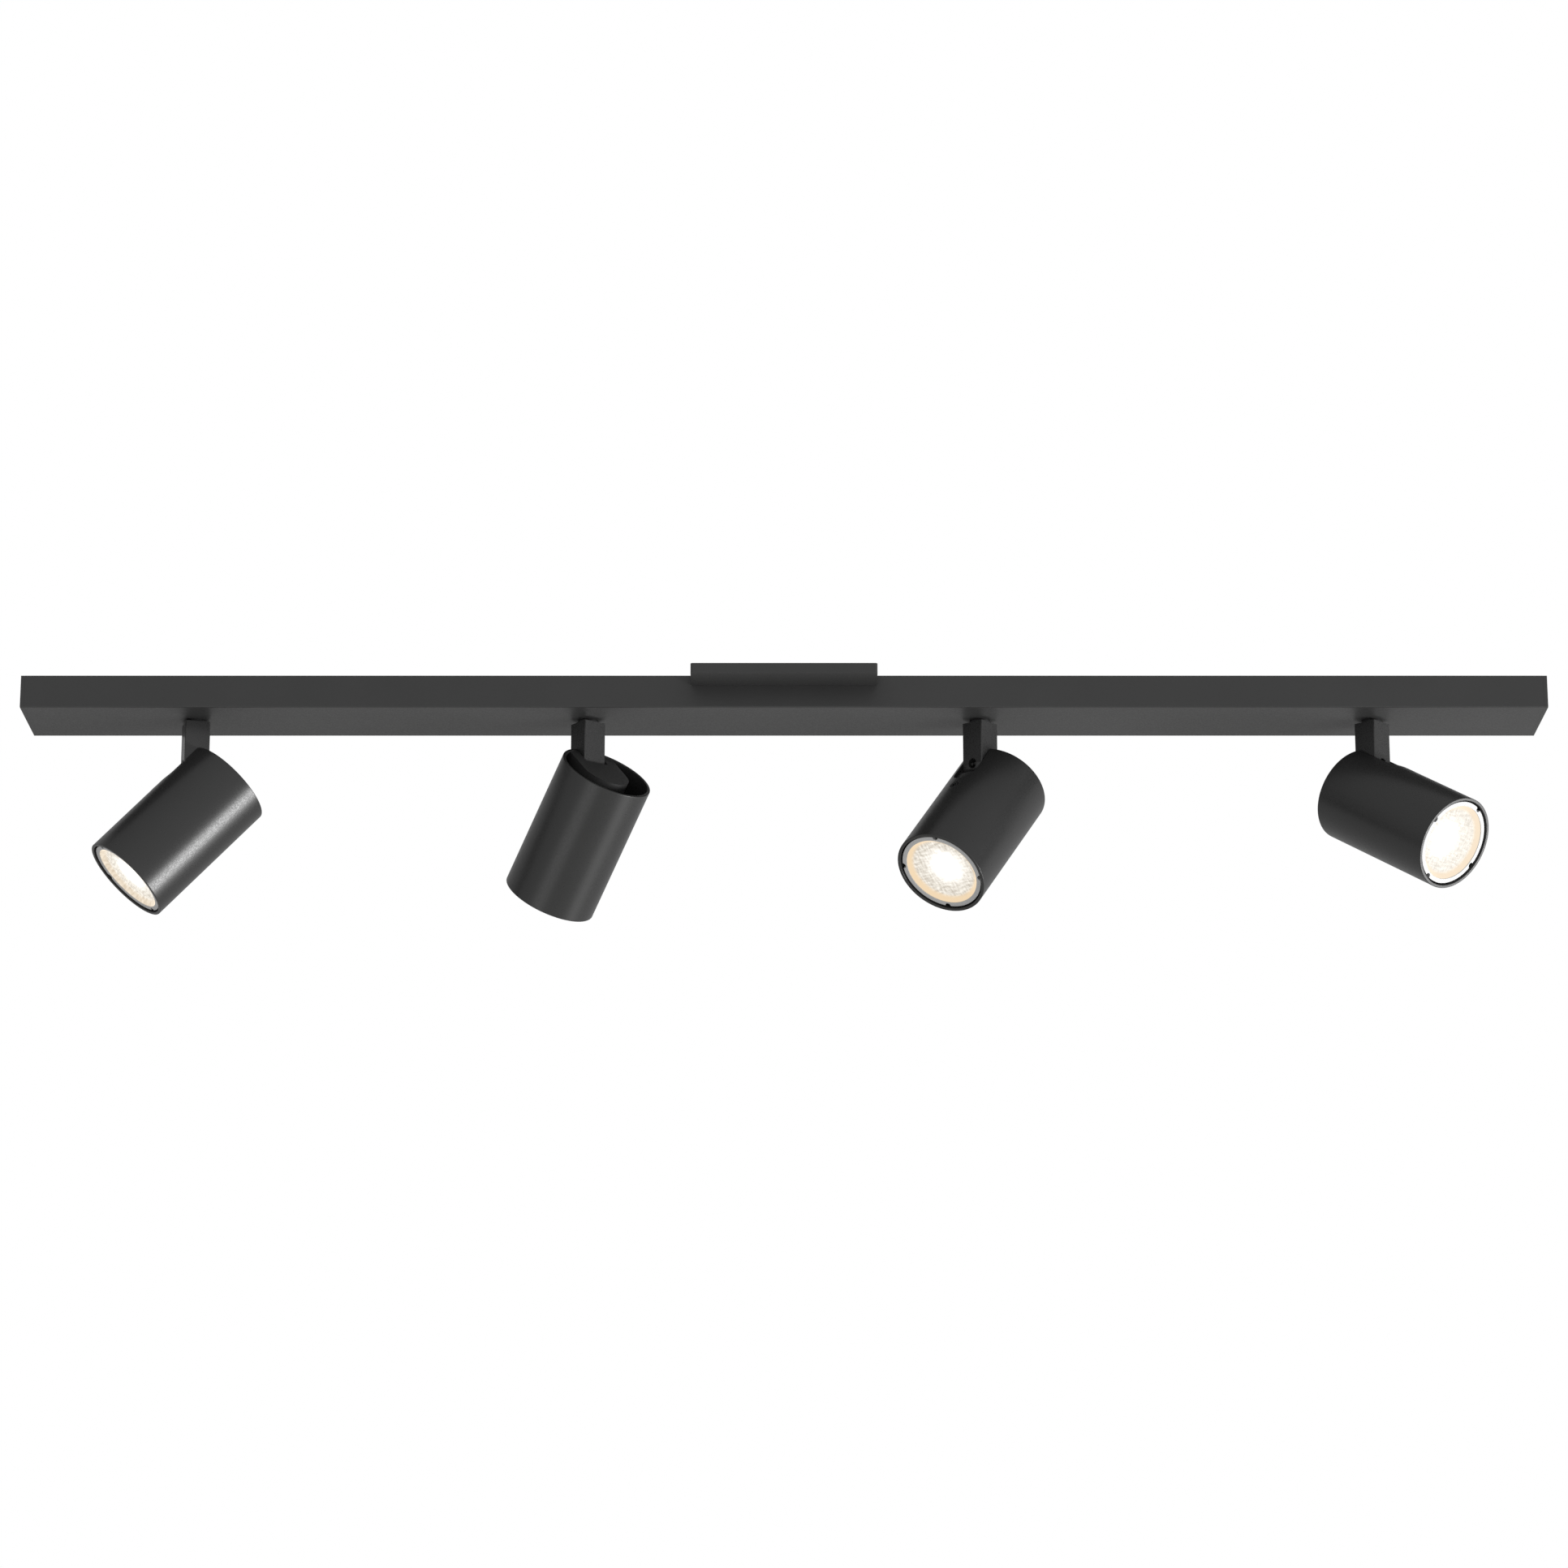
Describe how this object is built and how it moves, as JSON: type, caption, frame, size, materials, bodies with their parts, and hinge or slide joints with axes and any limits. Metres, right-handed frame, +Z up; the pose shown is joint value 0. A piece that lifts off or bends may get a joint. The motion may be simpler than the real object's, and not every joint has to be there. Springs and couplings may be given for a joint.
{
  "type": "track lighting fixture",
  "caption": "Slim black ceiling bar with a square canopy and open tube spot heads that pan and tilt on square posts, each holding a twist-lock reflector lamp.",
  "frame": {"origin": "centre of the ceiling-box screw slots, on the ceiling plane; the whole light hangs below it", "axes": "+X along the bar, +Z up into the ceiling, -Y towards the room"},
  "size_m": [0.97, 0.1263, 0.149],
  "materials": {
    "black_powder_coat": "fine-textured satin black powder coat on folded steel",
    "black_tube": "smooth satin black powder coat on aluminium tube",
    "black_casting": "satin black painted die casting",
    "zinc_plated_steel": "bright zinc plate",
    "black_oxide_steel": "black oxide",
    "black_nylon": "moulded",
    "white_polyamide": "moulded",
    "terminal_brass": "turned",
    "black_lead": "silicone insulation",
    "white_lead": "silicone insulation",
    "white_porcelain": "unglazed",
    "lamp_reflector": "vapour-coated reflector",
    "lit_lamp_glass": "emissive",
    "grey_collar": "satin moulded"
  },
  "bodies": {
    "bar": {"bar_casing": "black_powder_coat", "end_cap_left": "black_powder_coat", "end_cap_right": "black_powder_coat", "canopy": "black_powder_coat", "mounting_strap": "zinc_plated_steel", "canopy_screws": "zinc_plated_steel", "end_bracket_left": "zinc_plated_steel", "end_bracket_right": "zinc_plated_steel", "end_screws": "black_oxide_steel", "friction_washers": "black_nylon", "terminal_block": "white_polyamide", "terminal_screws": "terminal_brass", "earth_terminal": "terminal_brass", "live_leads": "black_lead", "neutral_leads": "white_lead", "lead_clips": "white_polyamide"},
    "swivel_1": {"post_1": "black_powder_coat", "lock_nut_1": "zinc_plated_steel", "post_leads_1": "black_lead"},
    "head_1": {"hinge_pins_1": "zinc_plated_steel", "carrier_1": "black_casting", "tube_1": "black_tube", "head_screws_1": "black_oxide_steel", "lampholder_1": "white_porcelain", "lamp_body_1": "lamp_reflector", "lamp_glass_1": "lit_lamp_glass", "lamp_ring_1": "grey_collar"},
    "swivel_2": {"post_2": "black_powder_coat", "lock_nut_2": "zinc_plated_steel", "post_leads_2": "black_lead"},
    "head_2": {"hinge_pins_2": "zinc_plated_steel", "carrier_2": "black_casting", "tube_2": "black_tube", "head_screws_2": "black_oxide_steel", "lampholder_2": "white_porcelain", "lamp_body_2": "lamp_reflector", "lamp_glass_2": "lit_lamp_glass", "lamp_ring_2": "grey_collar"},
    "swivel_3": {"post_3": "black_powder_coat", "lock_nut_3": "zinc_plated_steel", "post_leads_3": "black_lead"},
    "head_3": {"hinge_pins_3": "zinc_plated_steel", "carrier_3": "black_casting", "tube_3": "black_tube", "head_screws_3": "black_oxide_steel", "lampholder_3": "white_porcelain", "lamp_body_3": "lamp_reflector", "lamp_glass_3": "lit_lamp_glass", "lamp_ring_3": "grey_collar"},
    "swivel_4": {"post_4": "black_powder_coat", "lock_nut_4": "zinc_plated_steel", "post_leads_4": "black_lead"},
    "head_4": {"hinge_pins_4": "zinc_plated_steel", "carrier_4": "black_casting", "tube_4": "black_tube", "head_screws_4": "black_oxide_steel", "lampholder_4": "white_porcelain", "lamp_body_4": "lamp_reflector", "lamp_glass_4": "lit_lamp_glass", "lamp_ring_4": "grey_collar"}
  },
  "joints": [
    {"name": "pan_1", "type": "hinge", "parent": "bar", "child": "swivel_1", "pos_m": [-0.3765, 0, -0.021], "axis": [0, 0, 1], "range_deg": [-90, 240]},
    {"name": "tilt_1", "type": "hinge", "parent": "swivel_1", "child": "head_1", "pos_m": [-0.3765, 0, -0.0503], "axis": [-0.2588, 0.9659, 0], "range_deg": [-42.5, 47.5]},
    {"name": "pan_2", "type": "hinge", "parent": "bar", "child": "swivel_2", "pos_m": [-0.1255, 0, -0.021], "axis": [0, 0, 1], "range_deg": [-22, 308]},
    {"name": "tilt_2", "type": "hinge", "parent": "swivel_2", "child": "head_2", "pos_m": [-0.1255, 0, -0.0503], "axis": [0.7986, 0.6018, 0], "range_deg": [-42.5, 47.5]},
    {"name": "pan_3", "type": "hinge", "parent": "bar", "child": "swivel_3", "pos_m": [0.1255, 0, -0.021], "axis": [0, 0, 1], "range_deg": [-122.5, 207.5]},
    {"name": "tilt_3", "type": "hinge", "parent": "swivel_3", "child": "head_3", "pos_m": [0.1255, 0, -0.0503], "axis": [-0.7373, 0.6756, 0], "range_deg": [-41.5, 48.5]},
    {"name": "pan_4", "type": "hinge", "parent": "bar", "child": "swivel_4", "pos_m": [0.3765, 0, -0.021], "axis": [0, 0, 1], "range_deg": [-210.5, 119.5]},
    {"name": "tilt_4", "type": "hinge", "parent": "swivel_4", "child": "head_4", "pos_m": [0.3765, 0, -0.0503], "axis": [-0.7009, -0.7133, 0], "range_deg": [-59, 31]}
  ]
}
